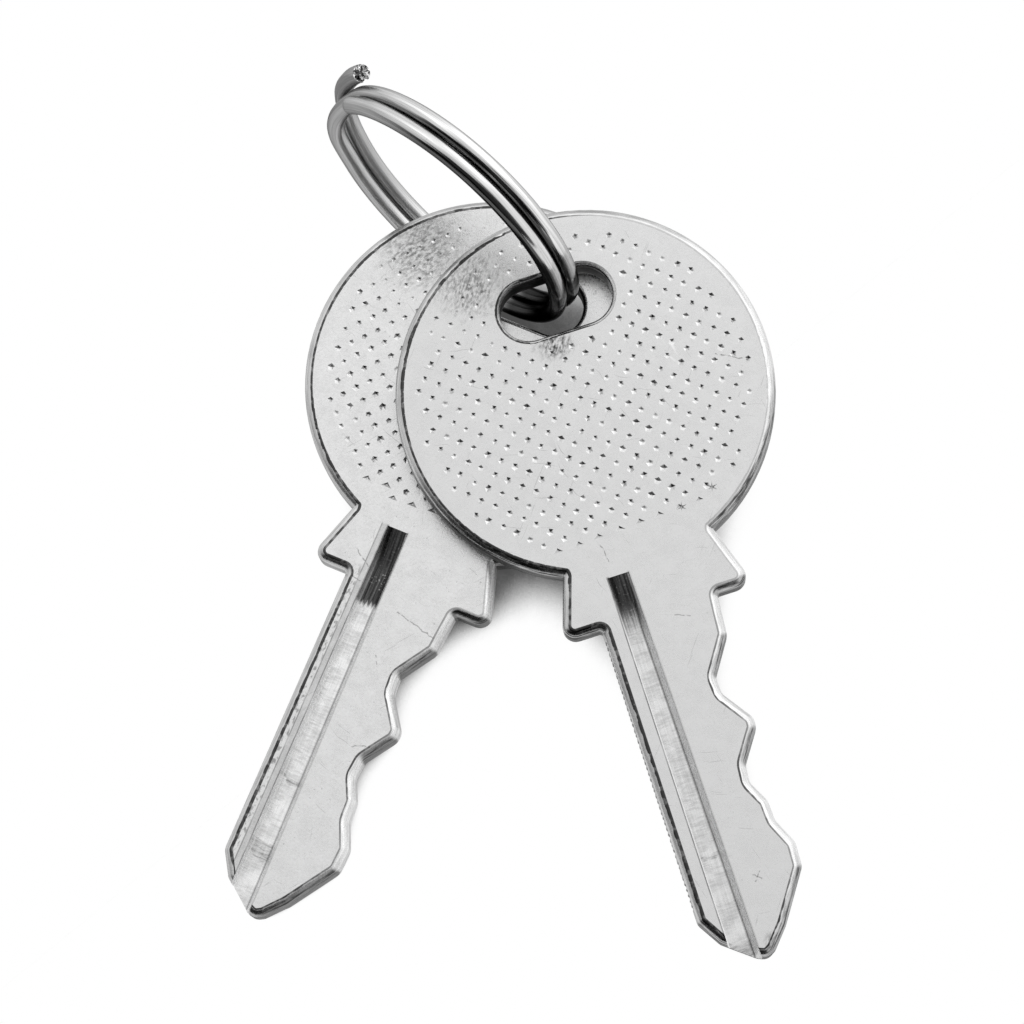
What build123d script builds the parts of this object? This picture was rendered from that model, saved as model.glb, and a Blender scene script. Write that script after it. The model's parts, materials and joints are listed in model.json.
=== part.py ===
# Pair of flat cabinet keys on a split wire ring, lying as they rest on a table.
# Millimetres, +Z up. The origin is on the table, under the middle of the whole bundle. +X runs the way
# from the back key's tip to the front key's tip, and +Y from the tips towards the bows.
import math
import os
from build123d import *

# The key: a round bow, a neck with two shoulders, and a blade. A key's own frame has its origin at the
# bow's centre, halfway through the metal, with +X across, +Y from tip to bow and +Z out of the front.
thickness = 2.2
bow_radius = 12.1
neck_half_width = 5.0
shoulder_half_width = 6.3
stop_half_width = 3.9
stop_drop = 15.0
spine_offset = 3.7
blade_length = 22.5
edge_round = 0.6
neck_round = 0.2
shoulder_round = 0.8
bitting_round = 0.8
point_round = 0.7

# The eye is a slot across the bow, between its centre and the rim.
eye_length = 7.4
eye_width = 3.85
eye_height = 6.1
eye_round = 0.3

# The cuts along the blade: how far below the stop each corner lies, and how far out it stands.
bitting = [
    (2.65, 3.67),
    (5.0, 2.14),
    (6.1, 2.22),
    (8.1, 3.6),
    (8.75, 3.56),
    (10.75, 2.2),
    (11.9, 2.1),
    (13.3, 2.8),
    (14.6, 2.85),
    (16.25, 3.6),
    (17.8, 3.52),
]
# The point: how far above the blade's end each corner lies, and how far right of the middle line.
point = [
    (1.6, 1.45),
    (0.35, 0.35),
    (0.0, -0.25),
    (0.25, -0.85),
    (1.75, -2.75),
]
spine_end = 3.3

# The milled grooves: a wide one down the front face and a narrower one down the back face.
front_groove_left = -2.35
front_groove_right = -0.95
front_groove_flare = 0.35
front_groove_depth = 1.1
back_groove_left = 0.35
back_groove_right = 1.6
back_groove_depth = 0.7
groove_slope = 0.35
cutter_radius = 6.0
groove_overrun = 1.0
front_key_groove_drop = 12.0
back_key_groove_drop = 11.3

# The split ring: one wire wound twice round, with its two turns side by side. Angles run along the
# wire, from the place where its ends meet. The first turn steps over to the second one's side past
# the blunt end, and the last stretch springs out over that step.
wire = 1.0
turn_gap = 0.43
ring_radius = 9.34
blunt_end_angle = 25.0
step_start_angle = 335.0
step_end_angle = 380.0
spring_start_angle = 650.0
spring_end_angle = 735.0
cut_end_angle = 751.0
spring_gap = 0.5
spring_lift = wire + spring_gap

# How the pieces lie. The stack's frame has its origin where the wire passes the middle of the front
# key, with +Z out of that key's face. A turn is about +Z, in degrees.
stack_gap = 0.2
front_key_turn = 18.15
back_key_turn = -22.4
front_key_wire = (0.49, 0.2)
back_key_wire = (1.62, 0.09)
ring_turn = -39.5
ring_lean = 6.5
ring_rise = 1.49


def turned(x, y, angle):
    """A point of the plane after a turn about the origin."""
    c = math.cos(math.radians(angle))
    s = math.sin(math.radians(angle))
    return (c * x - s * y, s * x + c * y)


# The ring's own frame: +X points at the keys' eyes, +Y up past the front key.
lean = math.radians(ring_lean)
ring_frame = Plane(
    origin=(0, 0, 0),
    x_dir=(*turned(1, 0, ring_turn), 0),
    z_dir=(*turned(0, -math.cos(lean), ring_turn), math.sin(lean)),
)


def ring_reach(height):
    """From the ring's centre to the wire's middle, on the keys' side, at a height over the centre."""
    up = height / ring_frame.y_dir.Z
    return ring_frame.x_dir * math.sqrt(ring_radius**2 - up**2) + ring_frame.y_dir * up


def key_place(pivot, wire_in_eye, turn):
    """Where a key lies when its eye holds the wire at the pivot."""
    x, y = turned(wire_in_eye[0], eye_height + wire_in_eye[1], turn)
    return Location(pivot - Vector(x, y, 0), (0, 0, turn))


front_pivot = Vector(0, 0, 0)
ring_centre = front_pivot - ring_reach(-ring_rise)
back_pivot = ring_centre + ring_reach(-ring_rise - thickness - stack_gap)
ring_place = Location(Plane(ring_centre, ring_frame.x_dir, ring_frame.z_dir))
front_place = key_place(front_pivot, front_key_wire, front_key_turn)
back_place = key_place(back_pivot, back_key_wire, back_key_turn)

# The bundle stands on three points: the lower edges of both tips, and the bottom of the ring.
tip_drop = stop_drop + blade_length
tip_edge = Location((point[2][1], -tip_drop, -thickness / 2))
front_tip = (front_place * tip_edge).position
back_tip = (back_place * tip_edge).position


def ring_bottom(up):
    """The lowest point of the ring, for a given way up."""
    across = ring_frame.z_dir
    side = math.copysign((wire + turn_gap) / 2, up.dot(across))
    down = (across * up.dot(across) - up).normalized()
    return ring_centre + down * ring_radius - across * side - up * (wire / 2)


# Which point of the ring is lowest depends on the table's tilt, so the tilt is found by trying.
table = Plane(front_tip, z_dir=(0, 0, 1))
for _ in range(4):
    away = (ring_bottom(table.z_dir) - front_tip).cross(back_tip - front_tip)
    table = Plane(front_tip, front_tip - back_tip, away)
on_table = Location(table).inverse()


def shank_corners():
    """Corners of the neck, shoulders and blade, each with its rounding."""
    root = bow_radius / 2
    neck_drop = math.sqrt(bow_radius**2 - neck_half_width**2)
    corners = [
        ((neck_half_width, -root), 0),
        ((neck_half_width, -neck_drop), neck_round),
        ((shoulder_half_width, -stop_drop), shoulder_round),
        ((stop_half_width, -stop_drop), neck_round),
    ]
    corners += [((out, -stop_drop - drop), bitting_round) for drop, out in bitting]
    corners += [((out, rise - tip_drop), point_round) for rise, out in point]
    corners += [
        ((-spine_offset, spine_end - tip_drop), point_round),
        ((-spine_offset, -stop_drop), neck_round),
        ((-shoulder_half_width, -stop_drop), shoulder_round),
        ((-neck_half_width, -neck_drop), neck_round),
        ((-neck_half_width, -root), 0),
    ]
    return corners


def groove_cutter(side, left, right, flare, depth, top_drop):
    """What a groove takes out of the front (1) or the back (-1). It runs out in the wheel's curve."""
    foot_drop = tip_drop + groove_overrun
    run_out = math.sqrt(cutter_radius**2 - (cutter_radius - depth) ** 2)
    face = side * thickness / 2
    floor = face - side * depth
    clear = face + side * depth
    with BuildPart() as cutter:
        for drop, widening in ((top_drop, 0), (foot_drop, flare)):
            edge = right + widening
            with BuildSketch(Plane(origin=(0, -drop, 0), x_dir=(1, 0, 0), z_dir=(0, -1, 0))):
                with BuildLine():
                    Polyline(
                        (left, clear),
                        (left, floor),
                        (edge - groove_slope, floor),
                        (edge, face),
                        (edge, clear),
                        close=True,
                    )
                make_face()
        loft()
        with BuildSketch(Plane.YZ.offset(left)):
            with BuildLine():
                Polyline(
                    (-top_drop, face),
                    (-top_drop, clear),
                    (-foot_drop, clear),
                    (-foot_drop, floor),
                    (-top_drop - run_out, floor),
                )
                RadiusArc((-top_drop - run_out, floor), (-top_drop, face), -side * cutter_radius)
            make_face()
        extrude(amount=right + flare - left, mode=Mode.INTERSECT)
    return cutter.part


def key_shape(groove_drop):
    """One key in its own frame, with its grooves starting a given drop below the bow's centre."""
    corners = shank_corners()
    front_groove = groove_cutter(
        1, front_groove_left, front_groove_right, front_groove_flare, front_groove_depth, groove_drop
    )
    back_groove = groove_cutter(-1, back_groove_left, back_groove_right, 0, back_groove_depth, groove_drop)
    with BuildPart() as key:
        with BuildSketch(Plane.XY.offset(-thickness / 2)):
            Circle(bow_radius)
            with BuildLine():
                FilletPolyline(
                    [corner for corner, _ in corners],
                    radius=[rounding for _, rounding in corners],
                    close=True,
                )
            make_face()
        extrude(amount=thickness)
        fillet(key.faces().filter_by(Axis.Z).edges(), edge_round)
        with BuildSketch(Plane.XY.offset(-thickness / 2)):
            with Locations((0, eye_height)):
                SlotOverall(eye_length, eye_width)
        extrude(amount=thickness, mode=Mode.SUBTRACT)
        eye_rims = key.faces().filter_by(Axis.Z).edges()
        eye_rims = eye_rims.filter_by_position(Axis.Y, eye_height - eye_width, eye_height + eye_width)
        eye_rims = eye_rims.filter_by_position(Axis.X, -eye_length / 2, eye_length / 2)
        fillet(eye_rims, eye_round)
        add(front_groove, mode=Mode.SUBTRACT)
        add(back_groove, mode=Mode.SUBTRACT)
    return key.part


def ring_point(angle, side, lift=0.0):
    """A point on the wire's middle line, in the ring's own frame."""
    x, y = turned(-ring_radius - lift, 0, -angle)
    return Vector(x, y, side * (wire + turn_gap) / 2)


def ring_heading(angle):
    """Which way the wire runs at an angle."""
    return Vector(*turned(0, 1, -angle), 0)


def round_turn(angles, side, lift=0.0):
    """The wire along a circle, as one arc between each two angles."""
    for start, end in zip(angles, angles[1:]):
        TangentArc(ring_point(start, side, lift), ring_point(end, side, lift), tangent=ring_heading(start))


def biarc(start, start_heading, end, end_heading):
    """Two arcs that leave one point and reach another along given headings."""
    across = end - start
    both = start_heading + end_heading
    turn = 2 * (1 - start_heading.dot(end_heading))
    reach = (math.sqrt(across.dot(both) ** 2 + turn * across.dot(across)) - across.dot(both)) / turn
    middle = (start + end + (start_heading - end_heading) * reach) * 0.5
    middle_heading = (end - end_heading * reach) - (start + start_heading * reach)
    TangentArc(start, middle, tangent=start_heading)
    TangentArc(middle, end, tangent=middle_heading)


def ring_path():
    """The wire's middle line, with a straight end one wire diameter long at either end."""
    blunt_end = ring_point(blunt_end_angle, 1)
    cut_end = ring_point(cut_end_angle, -1, spring_lift)
    with BuildLine() as path:
        Line(blunt_end - ring_heading(blunt_end_angle) * wire, blunt_end)
        round_turn((blunt_end_angle, 115, 205, 295, step_start_angle), 1)
        biarc(
            ring_point(step_start_angle, 1),
            ring_heading(step_start_angle),
            ring_point(step_end_angle, -1),
            ring_heading(step_end_angle),
        )
        round_turn((step_end_angle, 470, 560, spring_start_angle), -1)
        biarc(
            ring_point(spring_start_angle, -1),
            ring_heading(spring_start_angle),
            ring_point(spring_end_angle, -1, spring_lift),
            ring_heading(spring_end_angle),
        )
        round_turn((spring_end_angle, cut_end_angle), -1, spring_lift)
        Line(cut_end, cut_end + ring_heading(cut_end_angle) * wire)
    return path.wire()


def self_gap(path):
    """The least gap between stretches of the wire that lie side by side."""
    spacing = 0.1
    apart = 4 * wire
    count = round(path.length / spacing)
    points = [tuple(path @ (i / count)) for i in range(count + 1)]
    reach = round(apart / spacing)
    pairs = ((a, b) for i, a in enumerate(points) for b in points[i + reach :])
    return min(math.dist(a, b) for a, b in pairs) - wire


def ring_shape(path):
    """The split ring in its own frame."""
    with BuildPart() as ring:
        with BuildSketch(Plane(path @ 0, z_dir=path % 0)):
            Circle(wire / 2)
        sweep(path=path)
    return ring.part


front_shape = key_shape(front_key_groove_drop)
back_shape = key_shape(back_key_groove_drop)
wire_path = ring_path()
wound_shape = ring_shape(wire_path)

# The middle of the bundle, at the table's height, becomes the origin.
laid = [
    on_table * front_place * front_shape,
    on_table * back_place * back_shape,
    on_table * ring_place * wound_shape,
]
boxes = [shape.bounding_box() for shape in laid]
low = [min(tuple(box.min)[i] for box in boxes) for i in range(3)]
high = [max(tuple(box.max)[i] for box in boxes) for i in range(3)]
seat = Location((-(low[0] + high[0]) / 2, -(low[1] + high[1]) / 2, -low[2])) * on_table

with BuildPart(Plane(seat * front_place)) as key_front:
    add(front_shape)
key_front.part.label = "key_front"

with BuildPart(Plane(seat * back_place)) as key_back:
    add(back_shape)
key_back.part.label = "key_back"

with BuildPart(Plane(seat * ring_place)) as split_ring:
    add(wound_shape)
split_ring.part.label = "split_ring"

# What the record states, in the finished frame.
swing_axis = Plane(seat).z_dir
for name, pivot in (("front", front_pivot), ("back", back_pivot)):
    print(name, "key swings about", (seat * Location(pivot)).position, "along", swing_axis)
ring_spot = Plane(seat * ring_place)
print("ring centre", ring_spot.origin, "axis", ring_spot.z_dir, "towards the eyes", ring_spot.x_dir)
print("wire's least gap to itself", round(self_gap(wire_path), 3))
section = math.pi * wire**2 / 4
print("ring volume", round(wound_shape.volume, 3), "and section times length", round(section * wire_path.length, 3))
print("overall size", [round(b - a, 2) for a, b in zip(low, high)])

os.makedirs("parts", exist_ok=True)
export_step(key_front.part, "parts/key_front.step")
export_step(key_back.part, "parts/key_back.step")
export_step(split_ring.part, "parts/split_ring.step")
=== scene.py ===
"""Looks of two flat cabinet keys on a split wire ring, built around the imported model.

Sizes in the classes below are millimetres and degrees. Meshes are made in a key's or the ring's own
axes and then laid in the frame, which is in metres.
"""

import json
import logging
import math
import random
from collections.abc import Iterator
from dataclasses import dataclass
from enum import Enum

import bmesh
import bpy
from mathutils import Matrix, Vector

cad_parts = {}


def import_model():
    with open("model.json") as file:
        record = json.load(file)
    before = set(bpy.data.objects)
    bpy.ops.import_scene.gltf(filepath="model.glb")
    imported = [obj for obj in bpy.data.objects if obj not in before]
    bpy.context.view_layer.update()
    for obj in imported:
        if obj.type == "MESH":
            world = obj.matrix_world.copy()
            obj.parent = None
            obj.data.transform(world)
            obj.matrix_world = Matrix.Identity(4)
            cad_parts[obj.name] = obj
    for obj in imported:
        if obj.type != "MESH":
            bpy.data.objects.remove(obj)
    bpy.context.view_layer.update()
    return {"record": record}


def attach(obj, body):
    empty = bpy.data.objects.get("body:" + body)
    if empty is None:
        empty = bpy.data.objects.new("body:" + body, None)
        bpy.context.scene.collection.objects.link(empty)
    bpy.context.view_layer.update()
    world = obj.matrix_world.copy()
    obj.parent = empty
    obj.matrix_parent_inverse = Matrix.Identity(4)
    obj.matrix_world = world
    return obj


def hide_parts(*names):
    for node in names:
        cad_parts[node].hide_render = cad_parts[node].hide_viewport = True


LOG = logging.getLogger("keys")
MM = 0.001
Input = bpy.types.NodeSocket | float | tuple
# Where the wire passes each key, in the key's own millimetres.
FRONT_WIRE = (0.49, 6.3)
BACK_WIRE = (1.62, 6.19)


class Side(Enum):
    """The two flat faces of a key."""

    FRONT = 1
    BACK = -1


def select_only(*objects: bpy.types.Object) -> None:
    """Leaves only these objects selected, with the first one active."""
    bpy.ops.object.select_all(action="DESELECT")
    for item in objects:
        item.select_set(True)
    bpy.context.view_layer.objects.active = objects[0]


def apply_modifier(item: bpy.types.Object, kind: str, **settings: object) -> None:
    """Adds a modifier to a piece and applies it.

    Args:
        item: The piece.
        kind: Blender's name for the modifier.
        **settings: The modifier's own settings.
    """
    select_only(item)
    modifier = item.modifiers.new(kind.lower(), kind)
    for name, value in settings.items():
        setattr(modifier, name, value)
    bpy.ops.object.modifier_apply(modifier=modifier.name)


def crisp_normals(item: bpy.types.Object, sharp_angle: float) -> None:
    """Shades a piece smooth up to an angle, with its large flat faces kept truly flat."""
    select_only(item)
    bpy.ops.object.shade_smooth_by_angle(angle=math.radians(sharp_angle))
    apply_modifier(item, "WEIGHTED_NORMAL", mode="FACE_AREA", weight=100, keep_sharp=True)


def smoothstep(value: float) -> float:
    """Runs gently from 0 to 1 as the value does."""
    value = min(max(value, 0.0), 1.0)
    return value * value * (3 - 2 * value)


@dataclass(frozen=True)
class Axes:
    """A piece's own axes in the frame, with its origin in metres."""

    origin: Vector
    across: Vector
    along: Vector
    out: Vector

    @property
    def matrix(self) -> Matrix:
        """From the piece's own millimetres to the frame's metres."""
        turn = Matrix((self.across, self.along, self.out)).transposed().to_4x4()
        return Matrix.Translation(self.origin) @ turn @ Matrix.Scale(MM, 4)

    @classmethod
    def of_key(cls, record: dict, mount: str, joint: str, wire: tuple[float, float]) -> "Axes":
        """A key's axes: from the bow's centre, halfway through the metal, with the tip at -Y.

        Args:
            record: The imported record.
            mount: The blade's mount, whose axis points out of the tip.
            joint: The key's hinge, which runs through the wire and out of the front face.
            wire: Where the wire passes the key, in the key's own millimetres.

        Returns:
            The axes.
        """
        blade = next(entry for entry in record["mounts"] if entry["name"] == mount)
        hinge = next(entry for entry in record["behaviour"]["joints"] if entry["name"] == joint)
        out = Vector(hinge["axis"]).normalized()
        along = -Vector(blade["axis"]).normalized()
        across = along.cross(out).normalized()
        along = out.cross(across)
        origin = Vector(hinge["pos_m"]) - (across * wire[0] + along * wire[1]) * MM
        return cls(origin, across, along, out)

    @classmethod
    def of_ring(cls, record: dict, mount: str, joint: str) -> "Axes":
        """The ring's axes: +X towards the keys' eyes, +Y up past the front key.

        Args:
            record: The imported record.
            mount: The ring's mount, at its centre.
            joint: A key's hinge, which is square to the ring's +X.

        Returns:
            The axes.
        """
        loop = next(entry for entry in record["mounts"] if entry["name"] == mount)
        hinge = next(entry for entry in record["behaviour"]["joints"] if entry["name"] == joint)
        out = -Vector(loop["axis"]).normalized()
        across = Vector(hinge["axis"]).cross(out).normalized()
        return cls(Vector(loop["pos_m"]), across, out.cross(across), out)


@dataclass(frozen=True)
class Viewpoint:
    """Where the camera stands and how it is turned, as fitted to the photograph."""

    place_mm: tuple[float, float, float] = (28.4209, -67.5698, 205.3244)
    right: tuple[float, float, float] = (0.988261, 0.101003, -0.114626)
    up: tuple[float, float, float] = (-0.058255, 0.94273, 0.328432)
    back: tuple[float, float, float] = (0.141233, -0.317899, 0.937547)
    lens_mm: float = 118.16
    sensor_mm: float = 36.0

    def build(self) -> bpy.types.Object:
        """Makes the camera and hands it to the scene.

        Returns:
            The camera object.
        """
        data = bpy.data.cameras.new("camera")
        data.lens = self.lens_mm
        data.sensor_width = self.sensor_mm
        data.clip_start = 0.01
        data.clip_end = 10.0
        camera = bpy.data.objects.new("camera", data)
        bpy.context.scene.collection.objects.link(camera)
        turn = Matrix((self.right, self.up, self.back)).transposed()
        camera.matrix_world = Matrix.LocRotScale(Vector(self.place_mm) * MM, turn.to_quaternion(), None)
        bpy.context.scene.camera = camera
        return camera


class Graph:
    """Adds shader nodes to a tree and joins them."""

    def __init__(self, tree: bpy.types.NodeTree) -> None:
        """Keeps the tree that the nodes go to."""
        self.tree = tree

    def node(
        self, kind: str, inputs: dict[str | int, Input] | None = None, **settings: object
    ) -> bpy.types.Node:
        """Adds one node.

        Args:
            kind: The node's type, without the word ShaderNode.
            inputs: A value or an output for each named or numbered input.
            **settings: The node's own settings.

        Returns:
            The node.
        """
        made = self.tree.nodes.new("ShaderNode" + kind)
        for name, value in settings.items():
            setattr(made, name, value)
        for key, value in (inputs or {}).items():
            self.feed(made.inputs[key], value)
        return made

    def feed(self, socket: bpy.types.NodeSocket, value: Input) -> None:
        """Joins an output to an input, or sets the input's value."""
        if isinstance(value, bpy.types.NodeSocket):
            self.tree.links.new(value, socket)
        else:
            socket.default_value = value

    def math(self, operation: str, *values: Input, clamp: bool = False) -> bpy.types.NodeSocket:
        """A Math node's result."""
        return self.node("Math", dict(enumerate(values)), operation=operation, use_clamp=clamp).outputs[0]

    def product(self, *values: Input) -> bpy.types.NodeSocket:
        """All the values multiplied."""
        result = values[0]
        for value in values[1:]:
            result = self.math("MULTIPLY", result, value)
        return result

    def rest(self, value: Input) -> bpy.types.NodeSocket:
        """What a value leaves of 1."""
        return self.math("SUBTRACT", 1.0, value)

    def darkened(self, value: Input, *masks: Input) -> bpy.types.NodeSocket:
        """A value that goes down to 0 where all the masks are 1."""
        return self.product(value, self.rest(self.product(*masks)))

    def most(self, first: Input, second: Input) -> bpy.types.NodeSocket:
        """The larger of two values."""
        return self.math("MAXIMUM", first, second)

    def vector(self, operation: str, *values: Input) -> bpy.types.NodeSocket:
        """A Vector Math node's vector."""
        return self.node("VectorMath", dict(enumerate(values)), operation=operation).outputs[0]

    def measure(self, operation: str, *values: Input) -> bpy.types.NodeSocket:
        """A Vector Math node's number."""
        return self.node("VectorMath", dict(enumerate(values)), operation=operation).outputs["Value"]

    def scaled(self, vector: Input, size: Input) -> bpy.types.NodeSocket:
        """A vector made longer or shorter."""
        return self.node("VectorMath", {0: vector, "Scale": size}, operation="SCALE").outputs[0]

    def turned(self, vector: Input, angle: float) -> bpy.types.NodeSocket:
        """A vector turned about Z, by an angle in radians."""
        inputs = {"Vector": vector, "Angle": angle}
        return self.node("VectorRotate", inputs, rotation_type="Z_AXIS").outputs[0]

    def fade(
        self, value: Input, start: float, end: float, low: Input = 0.0, high: Input = 1.0
    ) -> bpy.types.NodeSocket:
        """A smooth change from one number to another as the value goes from start to end."""
        inputs = {"Value": value, "From Min": start, "From Max": end, "To Min": low, "To Max": high}
        return self.node("MapRange", inputs, interpolation_type="SMOOTHSTEP").outputs["Result"]

    def band(self, value: Input, low: float, high: float, edge: float) -> bpy.types.NodeSocket:
        """1 between two values and 0 outside them, with soft edges."""
        return self.product(
            self.fade(value, low - edge, low + edge), self.fade(value, high - edge, high + edge, 1.0, 0.0)
        )

    def blend(self, factor: Input, first: Input, second: Input) -> bpy.types.NodeSocket:
        """A number part of the way from the first to the second."""
        made = self.node("Mix", data_type="FLOAT", clamp_factor=True)
        self.feed(made.inputs[0], factor)
        self.feed(made.inputs[2], first)
        self.feed(made.inputs[3], second)
        return made.outputs[0]

    def noise(
        self, vector: Input, scale: Input, detail: float = 2.0, roughness: float = 0.5
    ) -> bpy.types.NodeSocket:
        """A noise pattern's value."""
        inputs = {"Vector": vector, "Scale": scale, "Detail": detail, "Roughness": roughness}
        return self.node("TexNoise", inputs).outputs[0]

    def grey(self, value: Input) -> bpy.types.NodeSocket:
        """A grey colour of a value."""
        return self.node("CombineColor", {"Red": value, "Green": value, "Blue": value}).outputs[0]


class Effect:
    """A node group that several materials place with their own values."""

    def __init__(self, name: str, inputs: dict[str, Input], outputs: tuple[str, ...]) -> None:
        """Makes the group and its sockets.

        Args:
            name: The group's name.
            inputs: Each input's first value; a tuple makes it a vector.
            outputs: The names of the values that it puts out.
        """
        self.tree = bpy.data.node_groups.new(name, "ShaderNodeTree")
        for label, value in inputs.items():
            kind = "NodeSocketVector" if isinstance(value, tuple) else "NodeSocketFloat"
            socket = self.tree.interface.new_socket(label, in_out="INPUT", socket_type=kind)
            socket.default_value = value
        for label in outputs:
            self.tree.interface.new_socket(label, in_out="OUTPUT", socket_type="NodeSocketFloat")
        self.graph = Graph(self.tree)
        self.inputs = self.tree.nodes.new("NodeGroupInput").outputs
        self.outputs = self.tree.nodes.new("NodeGroupOutput").inputs

    def place(self, graph: Graph, inputs: dict[str, Input]) -> bpy.types.NodeOutputs:
        """Puts the group into a material and returns its outputs."""
        return graph.node("Group", inputs, node_tree=self.tree).outputs


@dataclass(frozen=True)
class Stamp:
    """A small sunk mark that is pressed into a face.

    Args:
        half_width: Half its width where it meets the face.
        steps: The half-width and the depth of each ring below the face, down to its floor.
        corners: How many sides it has.
        stretch: How much longer than wide it is.
        rise: How far the cutter stands over the face.
    """

    half_width: float
    steps: tuple[tuple[float, float], ...]
    corners: int = 8
    stretch: float = 1.0
    rise: float = 0.1

    def build(self, name: str) -> bpy.types.Object:
        """Models the mark once, in millimetres, with the face at z = 0.

        Returns:
            The mark as a closed solid.
        """
        first_width, first_depth = self.steps[0]
        spread = 1 / math.cos(math.pi / self.corners)
        top = (self.half_width + (self.half_width - first_width) / first_depth * self.rise) * spread
        bpy.ops.mesh.primitive_circle_add(
            vertices=self.corners, radius=top, fill_type="NGON", location=(0, 0, self.rise)
        )
        mark = bpy.context.object
        mark.name = name
        bpy.ops.object.transform_apply(location=True, rotation=True, scale=True)
        bpy.ops.object.mode_set(mode="EDIT")
        bpy.ops.mesh.select_all(action="SELECT")
        width, height = top, self.rise
        for next_width, depth in self.steps:
            move = {"value": (0, 0, -depth - height)}
            bpy.ops.mesh.extrude_region_move(TRANSFORM_OT_translate=move)
            narrower = next_width * spread / width
            bpy.ops.transform.resize(value=(narrower, narrower, 1))
            width, height = next_width * spread, -depth
        bpy.ops.mesh.select_all(action="SELECT")
        bpy.ops.transform.resize(value=(self.stretch, 1, 1))
        bpy.ops.mesh.normals_make_consistent(inside=False)
        bpy.ops.object.mode_set(mode="OBJECT")
        return mark


@dataclass(frozen=True)
class Spot:
    """A round patch of worn metal on a key's front, in the key's own millimetres."""

    place: tuple[float, float]
    radius: float
    strength: float

    def wear(self, x: float, y: float) -> float:
        """How worn a place is: the strength at the middle, fading to 0 outside."""
        away = math.hypot(x - self.place[0], y - self.place[1]) / self.radius
        return self.strength * (1 - smoothstep(away - 0.5))


@dataclass(frozen=True)
class DimpleField:
    """The lattice of dimples pressed into the bow, which stops in a straight row above the neck.

    Args:
        offset: A dimple's place on the face.
        turn: How far the lattice is turned, in degrees.
        eye_border: How far the dimples keep from the eye.
        worn: Where the dimples are nearly worn away.
        pitch: How far apart they are.
        radius: How far from the bow's centre they reach.
        last_row: Below this height there are only run-out marks.
        end: Below this height there are no marks.
        size_spread: How much they differ in width.
        depth_spread: How much they differ in depth.
        place_spread: How far they are off the lattice.
        turn_spread: How far each is turned against the lattice, in degrees.
        length_range: How much longer than wide each is.
        worn_size: The share of its width that a dimple keeps where it is worn away.
    """

    offset: tuple[float, float]
    turn: float
    eye_border: float
    worn: Spot
    pitch: float = 0.9575
    radius: float = 10.6
    last_row: float = -8.95
    end: float = -9.62
    size_spread: float = 0.14
    depth_spread: float = 0.28
    place_spread: float = 0.025
    turn_spread: float = 36.0
    length_range: tuple[float, float] = (0.85, 1.1)
    worn_size: float = 0.4

    def dimples(self, eye: "Eye") -> Iterator[tuple[float, float]]:
        """The middle of each dimple of the lattice.

        Args:
            eye: The slot in the bow, which the dimples keep away from.

        Yields:
            A place on the face, in the key's own millimetres.
        """
        row = (math.cos(math.radians(self.turn)), math.sin(math.radians(self.turn)))
        reach = math.ceil(self.radius / self.pitch) + 1
        for i in range(-reach, reach + 1):
            for j in range(-reach, reach + 1):
                x = self.offset[0] + self.pitch * (i * row[0] - j * row[1])
                y = self.offset[1] + self.pitch * (i * row[1] + j * row[0])
                clear = eye.distance(x, y) > self.eye_border
                if math.hypot(x, y) < self.radius and y > self.end and clear:
                    yield x, y


@dataclass(frozen=True)
class Eye:
    """The slot in the bow that the ring passes through."""

    length: float = 7.4
    width: float = 3.85
    height: float = 6.1

    def distance(self, x: float, y: float) -> float:
        """How far a place on the face lies from the slot's rim."""
        straight = (self.length - self.width) / 2
        return math.hypot(max(abs(x) - straight, 0), y - self.height) - self.width / 2


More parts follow.
